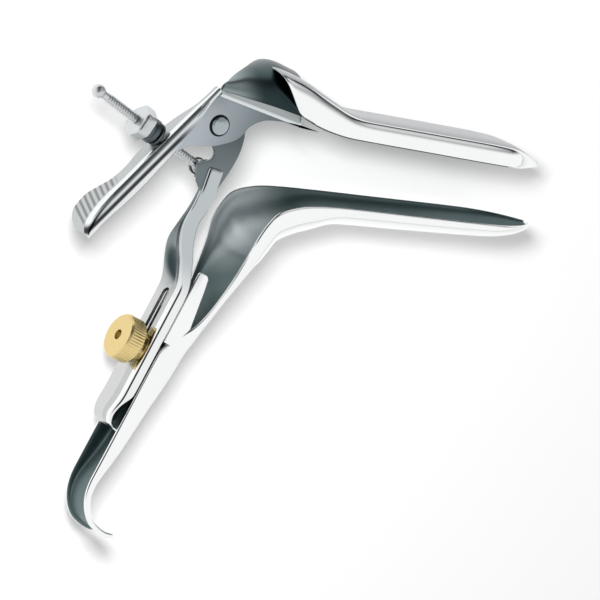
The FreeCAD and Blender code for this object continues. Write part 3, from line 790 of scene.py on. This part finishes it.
# along the handle, rear face, wall direction, far edge, near edge, near and far wall widths
FRAME_STATIONS = [
    (-11.7, 0.4, -64.0, -6.4, 6.4, 1.6, 1.6),
    (-11.0, -2.4, -58.0, -6.5, 6.5, 1.6, 1.6),
    (-9.2, -4.6, -50.0, -6.7, 6.7, 1.6, 1.6),
    (-6.2, -5.6, -40.0, -7.2, 7.2, 1.6, 1.6),
    (-3.0, -5.3, -34.0, -8.1, 8.1, 1.6, 1.6),
    (-0.6, -5.0, STEM_TURN, -STEM_HALF_WIDTH, STEM_HALF_WIDTH, 2.4, 2.4),
    (2.4, STEM_REAR, STEM_TURN, -STEM_HALF_WIDTH, STEM_HALF_WIDTH, 4.3, 4.3),
    (7.0, STEM_REAR, STEM_TURN, -STEM_HALF_WIDTH, STEM_HALF_WIDTH, 4.5, 4.5),
    (30.0, STEM_REAR, STEM_TURN, -STEM_HALF_WIDTH, STEM_HALF_WIDTH, 4.5, 4.5),
    (46.5, STEM_REAR, STEM_TURN, -STEM_HALF_WIDTH, STEM_HALF_WIDTH, 4.5, 4.5),
]
# place of the rear face, wall direction, far edge, near edge, near and far wall widths
ARM_STATIONS = [
    (-10.4, -57.0, -22.0, -7.5, 9.4, 4.6, 2.4),
    (-12.0, -47.5, -12.0, -1.0, 11.8, 5.4, 1.6),
    (-12.2, -39.5, -12.0, 7.5, 14.2, 6.2, 1.6),
    (-8.9, -29.5, -22.0, 13.6, 18.4, 6.5, 1.6),
    (-6.6, -23.5, -23.0, 15.2, 19.4, 6.5, 1.6),
    (-3.6, -16.2, -23.0, 15.2, 19.4, 6.5, 1.6),
]
# depth, where along the handle it begins and ends, the lengths of its two ramps, how far
# its middle lies from the web's, and the share of the web's width that it takes each way
RECESS_DEPTH = 1.3
RECESS_LOW, RECESS_HIGH = 46.0, 66.0
RECESS_RAMPS = (4.0, 10.0)
RECESS_OFFSET = 0.8
RECESS_SHARE = 0.34


def recess_depth(s, z, far, near):
    rise, fall = RECESS_RAMPS
    along = max(0.0, min(1.0, (s - RECESS_LOW) / rise)) * max(0.0, min(1.0, (RECESS_HIGH - s) / fall))
    middle = (far + near) / 2 + RECESS_OFFSET
    across = max(0.0, 1 - ((z - middle) / (RECESS_SHARE * (near - far))) ** 2)
    return RECESS_DEPTH * along * across * across


def channel_row(station):
    """The section from the edge of the far wall over the web to that of the near wall."""
    s, f, turn, far, near, near_wall, far_wall = station
    start = Vector(along_handle(s, f))
    near_bend = min(WALL_BEND, near_wall * BEND_SHARE)
    far_bend = min(WALL_BEND, far_wall * BEND_SHARE)
    section = line((far, far_wall), (far, far_bend), 3)
    section += arc((far + far_bend, far_bend), far_bend, 180, 270, 4)
    section += line((far + far_bend, 0), (near - near_bend, 0), 10)[1:]
    section += arc((near - near_bend, near_bend), near_bend, 270, 360, 5)
    section += line((near, near_bend), (near, near_wall), 4)[1:]
    section.append((near, near_wall))
    row = []
    for z, depth in section:
        place = start + heading(turn) * (depth + recess_depth(s, z, far, near))
        row.append((place.x, place.y, z))
    return row


frame_stations = FRAME_STATIONS + [handle_frame(station) for station in ARM_STATIONS]
frame_rows = [channel_row(station) for station in between(frame_stations, FRAME_ROWS)]
stem = press_sheet("frame_pressing", frame_rows, bands=(BEND_COLUMNS, WALL_COLUMNS))

# %% [markdown]
# The knob's stud runs in a slot of the frame. The real slot is punched through the sheet,
# so the same is done here: a cutter in the slot's shape is taken away with a Boolean
# modifier. Modelling the hole into the grid would bend the rows round it.

# %% Slot of the frame
SLOT_LOW, SLOT_HIGH, SLOT_WIDTH = 14.0, 46.5, 4.8
SLOT_ARC = 10
CUTTER_REAR, CUTTER_LENGTH = STEM_REAR - 2, 5

slot_half = SLOT_WIDTH / 2
slot_outline = arc((SLOT_HIGH - slot_half, 0), slot_half, -90, 90, SLOT_ARC)
slot_outline += arc((SLOT_LOW + slot_half, 0), slot_half, 90, 270, SLOT_ARC)
cutter = extruded("slot_cutter", [at(*along_handle(s, CUTTER_REAR, z)) for s, z in slot_outline],
                  heading(STEM_TURN) * CUTTER_LENGTH * MM)
apply_modifier(stem, "BOOLEAN", object=cutter, operation="DIFFERENCE", solver="EXACT")
bpy.data.objects.remove(cutter)
select_only(stem)
bpy.ops.object.shade_smooth_by_angle(angle=radians(40))
print("frame faces with its slot", len(stem.data.polygons))

# %% [markdown]
# The small turned parts come next. Each is a profile carried round an axis, so one helper
# makes them: it takes the places along the axis with their radii, and a share by which
# the radius changes round the piece. Adding cylinders would be quicker, but the knob
# needs its knurl as real ridges, because its edge is seen against the white table.

# %% Turned parts
UP = Vector((0, 0, 1))
TURNED_CREASE = radians(40)
MERGE = 0.01


def lathe(name, base, axis, profile, count, shape=None):
    """A turned surface; shape gives the share of the radius at each angle."""
    side = UP.cross(axis)
    side = side.normalized() if side.length > 0.1 else Vector((1, 0, 0))
    up = axis.cross(side)
    rows = []
    for along, radius in profile:
        row = []
        for i in range(count + 1):
            turn = 2 * pi * i / count
            share = shape(turn) if shape else 1.0
            row.append(base + axis * along + (side * cos(turn) + up * sin(turn)) * radius * share)
        rows.append(row)
    piece = grid_piece(name, rows)
    face_outward(piece, MERGE)
    bpy.ops.object.shade_smooth_by_angle(angle=TURNED_CREASE)
    print(name, "faces", len(piece.data.polygons))
    return piece


KNOB_AXIS = heading(HANDLE_ANGLE + 90)
STUD_PLACE = 21.4
KNOB_R, KNOB_LENGTH, KNOB_FACE = 8.9, 7.4, 14.8
KNOB_FOOT = KNOB_FACE - KNOB_LENGTH
KNURLS, KNURL_HEIGHT, PER_KNURL = 46, 0.022, 4


def knurl(turn):
    return 1.0 + KNURL_HEIGHT * abs(sin(KNURLS * turn / 2))


stud = Vector(along_handle(STUD_PLACE, 0.0))
knob_side = lathe("knob_knurl", stud, KNOB_AXIS, [
    (KNOB_FOOT + 0.3, KNOB_R - 0.8), (KNOB_FOOT + 0.5, KNOB_R - 0.1), (KNOB_FOOT + 0.9, KNOB_R + 0.05),
    (KNOB_FACE - 1.3, KNOB_R + 0.05), (KNOB_FACE - 0.8, KNOB_R - 0.1), (KNOB_FACE - 0.6, KNOB_R - 0.8),
], KNURLS * PER_KNURL, knurl)

# %% [markdown]
# The imported rivet has a flat head. A real one is headed over with a shallow dome, and a
# ring stands where it was pressed down on the ear; the ring is painted near black, as
# painted shade. Both are turned forms, so they are thin shells on top of the exact rivet,
# and the rivet itself stays.

# %% Pivot rivet
DOME_R, RING_R = 3.65, 4.35
PIVOT_AXIS_FOOT = Vector((0, 0, 0))
dome = lathe("rivet_dome", PIVOT_AXIS_FOOT, UP, [
    (21.43, DOME_R * 0.80), (21.62, DOME_R * 0.62), (21.75, DOME_R * 0.35), (21.78, 0.01)], 48)
dome_ring = lathe("rivet_ring", PIVOT_AXIS_FOOT, UP, [
    (20.02, RING_R), (20.30, RING_R - 0.1), (20.42, RING_R - 0.35), (20.30, DOME_R)], 64)

# %% [markdown]
# The adjusting rod is threaded almost from end to end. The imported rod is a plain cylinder
# at the thread's mean size, so the thread is one narrow ridge wound round it. A bumpy
# material would be cheaper, but then the rod's edge would stay straight.

# %% Threads
ROD_HINGE = Vector((-5.2, -17.3, 13.6))
ROD_AXIS = heading(140.9)
ROD_R, THREAD_PITCH, THREAD_HEIGHT = 1.7, 1.25, 0.32
THREAD_START, THREAD_END = 6.0, 51.5
PER_TURN = 14
# shares of the pitch, and the heights there
THREAD_PROFILE = ((-0.36, -0.1), (-0.08, THREAD_HEIGHT), (0.08, THREAD_HEIGHT), (0.36, -0.1))
THREAD_CREASE = radians(60)


def helix(name, base, axis, radius, start, end):
    """A raised thread: a narrow ridge wound along the axis."""
    side = UP.cross(axis).normalized()
    up = axis.cross(side)
    rows = []
    for i in range(int((end - start) / THREAD_PITCH * PER_TURN) + 1):
        turn = 2 * pi * i / PER_TURN
        out = side * cos(turn) + up * sin(turn)
        middle = base + axis * (start + THREAD_PITCH * i / PER_TURN)
        rows.append([middle + axis * shift * THREAD_PITCH + out * (radius + rise)
                     for shift, rise in THREAD_PROFILE])
    piece = grid_piece(name, rows)
    face_outward(piece)
    bpy.ops.object.shade_smooth_by_angle(angle=THREAD_CREASE)
    print(name, "faces", len(piece.data.polygons))
    return piece


rod_thread = helix("rod_thread", ROD_HINGE, ROD_AXIS, ROD_R, THREAD_START, THREAD_END)

# %% [markdown]
# The nut has a wide body with six soft lobes for the fingers and a hub towards the lever,
# whose dark colour is painted shade. The lobes are one more share of the radius. The imported
# nut says where it sits on the rod, so its middle is read from the imported model instead of
# being written again.

# %% Adjusting nut
NUT_HUB, NUT_BODY = 4.4, 5.6
NUT_LOBES, LOBE_DEPTH, LOBE_POWER = 6, 0.09, 1.5
nut_low, nut_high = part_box("adjusting_nut")
nut_middle = ((nut_low + nut_high) / 2 - at(*ROD_HINGE)).dot(ROD_AXIS) / MM
nut_start = nut_middle - (NUT_HUB + NUT_BODY) / 2
body_start = nut_start + NUT_HUB


def lobes(turn):
    return 1.0 - LOBE_DEPTH * abs(sin(NUT_LOBES * turn / 2)) ** LOBE_POWER


nut_body = lathe("nut_body", ROD_HINGE, ROD_AXIS, [
    (body_start, 2.0), (body_start + 0.05, 5.9), (body_start + 0.5, 6.7), (body_start + 1.2, 6.95),
    (body_start + 4.4, 6.95), (body_start + 5.1, 6.6), (body_start + 5.62, 5.6),
    (body_start + 5.64, 2.0)], 96, lobes)
nut_hub = lathe("nut_hub", ROD_HINGE, ROD_AXIS, [
    (nut_start, 2.0), (nut_start + 0.02, 4.5), (nut_start + 0.5, 5.0), (nut_start + 2.2, 5.0),
    (nut_start + 2.6, 4.6), (body_start + 0.1, 4.6)], 64)

# %% [markdown]
# All the steel is the same metal in different states of polish, so one helper makes every
# finish. Broad noise changes the roughness a little everywhere, as hand buffing does. A
# finish can also have tones: a second colour, blended in where a mask says so. They are
# painted light and painted shade, for what a satin surface reflects softly, which a plain
# world can't give it. The darker base colours of several finishes are painted shade too.
# The short functions before the helper measure places for the masks and blend colours.

# %% Steel helper
FINE_NOISE = {"Scale": 900.0, "Detail": 3.0}
CLOUD_NOISE = {"Scale": 60.0, "Detail": 2.0}
FINE_SHARE, CLOUD_SHARE = 0.12, 0.5
DULLED, BRIGHTENED = 0.97, 1.02


def share_between(tree, coords, start, end):
    """0 at one point and 1 at another, both in millimetres from the pivot."""
    travel = at(*end) - at(*start)
    offset = make_node(tree, "ShaderNodeVectorMath", {"operation": "SUBTRACT"},
                       {0: coords, 1: at(*start)}, 0)
    share = make_node(tree, "ShaderNodeVectorMath", {"operation": "DOT_PRODUCT"},
                      {0: offset, 1: travel / travel.length_squared}, "Value")
    return share.step(0.0, 1.0)


def near_to(tree, coords, centre, inner, outer):
    """1 within a distance of a point, and 0 past a larger one."""
    gap = make_node(tree, "ShaderNodeVectorMath", {"operation": "DISTANCE"},
                    {0: coords, 1: at(*centre)}, "Value")
    return 1 - gap.step(inner * MM, outer * MM)


def mix_colours(tree, share, first, second):
    sockets = {"Factor": share}
    for index, colour in ((6, first), (7, second)):
        sockets[index] = colour if isinstance(colour, Shade) else tuple(colour) + (1,)
    return make_node(tree, "ShaderNodeMix", {"data_type": "RGBA"}, sockets, 2)


def distance_along(tree, coords, start, direction):
    """Millimetres from a point, measured along a direction."""
    offset = make_node(tree, "ShaderNodeVectorMath", {"operation": "SUBTRACT"},
                       {0: coords, 1: at(*start)}, 0)
    return make_node(tree, "ShaderNodeVectorMath", {"operation": "DOT_PRODUCT"},
                     {0: offset, 1: direction / MM}, "Value")


def steel(name, colour, roughness, *tones):
    """A metal. Each tone, of painted light and shade, is a colour and the function that makes its
    mask.
    """
    material, tree = new_material(name)
    coords = make_node(tree, "ShaderNodeTexCoord", {}, {}, "Object")
    fine = make_node(tree, "ShaderNodeTexNoise", {}, {"Vector": coords, **FINE_NOISE})
    cloud = make_node(tree, "ShaderNodeTexNoise", {}, {"Vector": coords, **CLOUD_NOISE})
    rough = (roughness + (fine - 0.5) * roughness * FINE_SHARE
             + (cloud - 0.5) * roughness * CLOUD_SHARE)
    base = mix_colours(tree, cloud, [v * DULLED for v in colour],
                       [min(1, v * BRIGHTENED) for v in colour])
    for tone, mask in tones:
        base = mix_colours(tree, mask(tree, coords), base, tone)
    shader = make_node(tree, "ShaderNodeBsdfPrincipled", {}, {
        "Base Color": base, "Metallic": 1.0, "Roughness": rough})
    finish_material(tree, shader)
    return material


print("steel helper ready")

# %% [markdown]
# The outside of the blades is buffed to a mirror, and the inside is left satin, so that it
# does not dazzle the user. The inside's dark colour is painted shade. Two kinds of mask are
# enough: one fades out from a point, such as the painted light in the dish or the painted
# shade in the stamped hollow, and one grades from one place to another, as the painted shade
# on the hood, the ear and the plate.

# %% Finishes of the blades and the frame


# Painted light: a pale patch on the satin inside of the dish.
def dish_painted_light(tree, coords):
    return near_to(tree, coords, (18.0, -38.0, -13.0), 9.0, 33.0)


# Painted shade: the hood darkens towards the blade.
def hood_painted_shade(tree, coords):
    return share_between(tree, coords, (6.0, 12.0, 12.0), (19.0, 10.0, 8.0))


# Painted shade: the ear darkens forward, towards the lower blade.
def ear_painted_shade(tree, coords):
    return share_between(tree, coords, (-9.0, 8.0, 20.0), (22.0, -9.0, 20.0))


# Painted shade: the plate grades lighter towards the lower blade.
def plate_painted_shade(tree, coords):
    return share_between(tree, coords, (8.0, 0.0, 17.0), (0.0, -20.0, 17.0))


def stem_top_painted_shade(tree, coords):
    """Painted shade on the stem from the slot's top to the arm."""
    return share_between(tree, coords, along_handle(42.0, 0.0), along_handle(60.0, 0.0))


# Painted shade: near black in the stamped hollow above the slot.
def recess_painted_shade(tree, coords):
    return near_to(tree, coords, along_handle(58.0, STEM_REAR, 3.0), 6.6, 11.0)


mirror_steel = steel("mirror_steel", (0.92, 0.93, 0.93), 0.06)
# Painted shade: the top band's colour is darker than the mirror steel.
top_steel = steel("top_steel", (0.42, 0.43, 0.44), 0.30)
# Painted shade: the inside of every pressing is coloured dark, with painted light in the dish.
inner_shaded_steel = steel("inner_shaded_steel", (0.15, 0.205, 0.21), 0.46, ((0.92, 0.98, 1.0), dish_painted_light))
# Painted shade: the hood's dark colour, darker still towards the blade.
hood_steel = steel("hood_steel", (0.27, 0.32, 0.33), 0.30, ((0.05, 0.08, 0.085), hood_painted_shade))
fold_steel = steel("fold_steel", (0.70, 0.74, 0.75), 0.20)
# Painted shade: the ear's colour and its darker grade.
ear_steel = steel("ear_steel", (0.44, 0.48, 0.52), 0.30, ((0.15, 0.185, 0.20), ear_painted_shade))
# Painted shade: the plate's dark colour and its lighter grade.
plate_steel = steel("plate_steel", (0.085, 0.11, 0.115), 0.30, ((0.17, 0.20, 0.21), plate_painted_shade))
# Painted shade: the frame's bend is darker, and near black above the slot.
crease_shade_steel = steel("crease_shade_steel", (0.50, 0.52, 0.52), 0.25, ((0.03, 0.045, 0.05), stem_top_painted_shade))
# Painted shade: the web darkens above the slot and in the stamped hollow.
frame_web_steel = steel("frame_web_steel", (0.62, 0.63, 0.63), 0.34,
                        ((0.19, 0.23, 0.24), stem_top_painted_shade), ((0.03, 0.05, 0.055), recess_painted_shade))
# Painted shade: the near wall grades darker above the slot.
arm_side_steel = steel("arm_side_steel", (0.86, 0.87, 0.87), 0.10,
                       ((0.50, 0.54, 0.55), stem_top_painted_shade))
print("finishes", len(bpy.data.materials))

# %% [markdown]
# The lever takes more masks, because they follow its own line. Its ribs get painted shade
# in their valleys. Its near wall gets one long dark line of the room as a painted reflection,
# and at the apex the wall runs on into the ear, so it takes the ear's painted shade there.

# %% Finishes of the lever
VALLEY = (-0.6, 0.4)
VALLEY_ENDS = (1.0, 0.5)
FOLD_EDGE = (5.4, 3.6)


def lever_distances(tree, coords):
    """Millimetres along the lever and out of its web."""
    apex = (APEX[0], APEX[1], 0.0)
    return (distance_along(tree, coords, apex, heading(LEVER_ANGLE)),
            distance_along(tree, coords, apex, heading(LEVER_ANGLE - 90)))


def lever_root_painted_shade(tree, coords):
    """Painted shade on the part of the lever's wall that runs on into the ear."""
    along, out = lever_distances(tree, coords)
    return (1 - out.step(-2.6, -0.4)) * (1 - along.step(22.0, 38.0))


def wall_painted_reflection(tree, coords):
    """A painted reflection: the dark line that the room draws along the lever's wall."""
    along, out = lever_distances(tree, coords)
    return out.step(-3.6, -2.7) * (1 - out.step(-2.0, -0.8)) * along.step(14.0, 26.0)


def near_fold(tree, coords):
    height = distance_along(tree, coords, (0.0, 0.0, 0.0), UP)
    return height.step(EAR_OUT - FOLD_EDGE[0], EAR_OUT - FOLD_EDGE[1])


def rib_valley_painted_shade(tree, coords):
    """Painted shade: dark stripes between the thumb ribs."""
    skewed = heading(LEVER_ANGLE) - UP * RIB_SKEW
    along = distance_along(tree, coords, (APEX[0], APEX[1], RIB_MIDDLE), skewed)
    wave = along.math("SINE", (along - RIB_START) * (2 * pi / RIB_PITCH))
    before, after = VALLEY_ENDS
    ends = along.step(RIB_START - before, RIB_START + after) * (1 - along.step(RIB_END, RIB_END + 1.0))
    return (1 - wave.step(*VALLEY)) * ends * (1 - near_fold(tree, coords))


# Painted shade between the thumb ribs.
lever_web_steel = steel("lever_web_steel", (0.50, 0.52, 0.52), 0.36,
                        ((0.24, 0.25, 0.25), rib_valley_painted_shade))
# Painted shade at the lever's root, and a painted dark reflection line along its wall.
lever_side_steel = steel("lever_side_steel", (0.80, 0.82, 0.82), 0.16,
                         ((0.42, 0.46, 0.50), lever_root_painted_shade), ((0.04, 0.045, 0.05), wall_painted_reflection))
print("finishes", len(bpy.data.materials))

# %% [markdown]
# The small parts are plain: turned steel in a few tones, and brass for the knob and its
# collar. The darkest tones are painted shade, on the nut's hub and the rivet's ring. The
# exact pieces that stay in sight take the same finishes, by their names.

# %% Finishes of the small parts
satin_steel = steel("satin_steel", (0.62, 0.64, 0.65), 0.32)
# Painted shade: the dark colour of the nut's hub; the nut's washer takes it too.
dark_steel = steel("dark_steel", (0.10, 0.12, 0.13), 0.35)
# Painted shade: the near-black ring round the rivet's head.
ring_shade_steel = steel("ring_shade_steel", (0.02, 0.025, 0.03), 0.35)
rivet_steel = steel("rivet_steel", (0.40, 0.45, 0.48), 0.18)
brass = steel("brass", (0.76, 0.59, 0.27), 0.24)
NODE_FINISHES = {
    "pivot_plate": plate_steel, "rod_clevis": plate_steel, "frame": frame_web_steel,
    "clamp_knob": brass, "clamp_collar": brass, "nut_washer": dark_steel,
    "pivot_rivet": rivet_steel}
for name, node in nodes.items():
    node.data.materials.clear()
    node.data.materials.append(NODE_FINISHES.get(name, satin_steel))
print("finishes", len(bpy.data.materials))

# %% [markdown]
# Each new piece gets its finishes, in the order of its material slots, and is tied to the
# moving body that it belongs to. A pressing that shows the same form as an exact piece
# replaces it in the picture, and the exact one goes on giving the sizes and the motion.

# %% Dress, ride and replace


def dress(piece, slot, *materials):
    """Fills the piece's material slots in order: outside first, inside second."""
    while len(piece.data.materials) < len(materials):
        piece.data.materials.append(None)
    for i, material in enumerate(materials):
        piece.data.materials[i] = material


for piece in [lower_blade] + tabs:
    dress(piece, "blade_steel", mirror_steel, inner_shaded_steel)
    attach(piece, "handle")
dress(upper_blade, "blade_steel", mirror_steel, inner_shaded_steel, top_steel, inner_shaded_steel)
dress(hood, "yoke_steel", hood_steel, inner_shaded_steel, fold_steel, inner_shaded_steel)
dress(ear, "yoke_steel", ear_steel)
dress(lever, "yoke_steel", lever_web_steel, inner_shaded_steel, lever_side_steel, inner_shaded_steel)
dress(stem, "frame_steel", frame_web_steel, inner_shaded_steel, crease_shade_steel, inner_shaded_steel,
      arm_side_steel, inner_shaded_steel)
dress(pivot_piece, "frame_steel", plate_steel)
dress(knob_side, "knob_brass", brass)
dress(dome, "rivet_steel", rivet_steel)
dress(dome_ring, "rivet_steel", ring_shade_steel)
dress(rod_thread, "screw_steel", satin_steel)
dress(nut_body, "nut_steel", satin_steel)
dress(nut_hub, "nut_steel", dark_steel)

rides = {"lever": (upper_blade, hood, ear, lever), "yoke": (stem, pivot_piece, dome, dome_ring),
         "knob": (knob_side,), "screw": (rod_thread,), "nut": (nut_body, nut_hub)}
for body, pieces in rides.items():
    for piece in pieces:
        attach(piece, body)
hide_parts("frame")
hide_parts("lower_blade")
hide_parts("upper_blade")
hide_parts("upper_yoke")
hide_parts("adjusting_nut")
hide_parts("pivot_plate")
